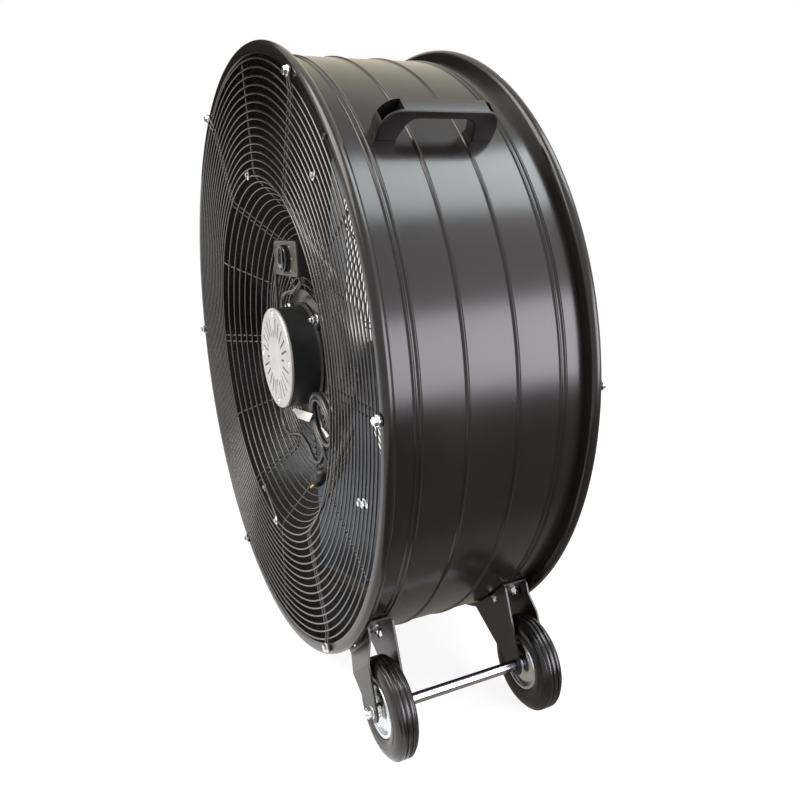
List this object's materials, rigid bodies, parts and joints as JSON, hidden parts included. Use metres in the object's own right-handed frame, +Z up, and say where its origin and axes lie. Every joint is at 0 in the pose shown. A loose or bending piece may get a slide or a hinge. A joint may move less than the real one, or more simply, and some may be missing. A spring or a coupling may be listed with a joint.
{
  "type": "portable drum fan",
  "caption": "Portable drum fan: steel drum with rolled rims, dished rear wire guard with motor and switch box, flat front guard, handle, and a wheeled axle.",
  "frame": {"origin": "on the floor below the middle of the drum", "axes": "+Z up, +Y along the drum's axis towards the air outlet, +X towards the wheels and the handle"},
  "size_m": [1.01, 0.3394, 1.01],
  "materials": {
    "black_paint": "satin black powder coat",
    "guard_wire": "semi-gloss black coated wire",
    "cast_aluminium": "bare casting",
    "blade_sheet": "mill finish sheet",
    "zinc_steel": "bright zinc plate",
    "bright_steel": "ground steel",
    "tyre_rubber": "ribbed rubber",
    "black_plastic": "fine grained moulding",
    "cord_jacket": "smooth cable jacket",
    "copper_winding": "lacquered copper wire",
    "pin_brass": "polished"
  },
  "bodies": {
    "drum": {"drum_shell": "black_paint", "motor_housing": "black_paint", "motor_front_shield": "black_paint", "rear_fork": "black_paint", "front_fork": "black_paint", "rear_guard": "guard_wire", "front_guard": "guard_wire", "motor_end_cap": "cast_aluminium", "run_capacitor": "cast_aluminium", "rear_guard_bolt_1": "zinc_steel", "rear_guard_bolt_2": "zinc_steel", "rear_guard_bolt_3": "zinc_steel", "rear_guard_bolt_4": "zinc_steel", "rear_guard_bolt_5": "zinc_steel", "rear_guard_bolt_6": "zinc_steel", "front_guard_bolt_1": "zinc_steel", "front_guard_bolt_2": "zinc_steel", "front_guard_bolt_3": "zinc_steel", "front_guard_bolt_4": "zinc_steel", "front_guard_bolt_5": "zinc_steel", "front_guard_bolt_6": "zinc_steel", "motor_bolt_1": "zinc_steel", "motor_bolt_2": "zinc_steel", "motor_bolt_3": "zinc_steel", "motor_bolt_4": "zinc_steel", "rear_fork_bolt_1": "zinc_steel", "rear_fork_bolt_2": "zinc_steel", "front_fork_bolt_1": "zinc_steel", "front_fork_bolt_2": "zinc_steel", "rear_axle_nut": "zinc_steel", "front_axle_nut": "zinc_steel", "axle_spacer": "zinc_steel", "motor_bearing_rear": "bright_steel", "motor_bearing_front": "bright_steel", "axle_rod": "bright_steel", "switch_box": "black_plastic", "switch_box_cover": "black_plastic", "rotary_switch": "black_plastic", "cord_gland": "black_plastic", "plug_body": "black_plastic", "carry_handle": "black_plastic", "supply_cord": "cord_jacket", "cord_loops": "cord_jacket", "cord_tail": "cord_jacket", "motor_lead": "cord_jacket", "stator": "copper_winding", "plug_pin_1": "pin_brass", "plug_pin_2": "pin_brass"},
    "impeller": {"fan_shaft": "bright_steel", "rotor": "bright_steel", "fan_hub": "cast_aluminium", "fan_blade_1": "blade_sheet", "fan_blade_2": "blade_sheet", "fan_blade_3": "blade_sheet", "fan_blade_4": "blade_sheet"},
    "rear_wheel": {"rear_tyre": "tyre_rubber", "rear_wheel_hub": "zinc_steel"},
    "front_wheel": {"front_tyre": "tyre_rubber", "front_wheel_hub": "zinc_steel"},
    "knob": {"speed_knob": "black_plastic"}
  },
  "joints": [
    {"name": "fan_spin", "type": "hinge", "parent": "drum", "child": "impeller", "pos_m": [0, 0, 0.505], "axis": [0, 1, 0], "continuous": true},
    {"name": "rear_wheel_spin", "type": "hinge", "parent": "drum", "child": "rear_wheel", "pos_m": [0.41834, -0.122, 0.0742], "axis": [0, 1, 0], "continuous": true},
    {"name": "front_wheel_spin", "type": "hinge", "parent": "drum", "child": "front_wheel", "pos_m": [0.41834, 0.122, 0.0742], "axis": [0, 1, 0], "continuous": true},
    {"name": "knob_turn", "type": "hinge", "parent": "drum", "child": "knob", "pos_m": [0.01948, -0.122, 0.67889], "axis": [0, 1, 0], "range_deg": [0, 135]}
  ]
}
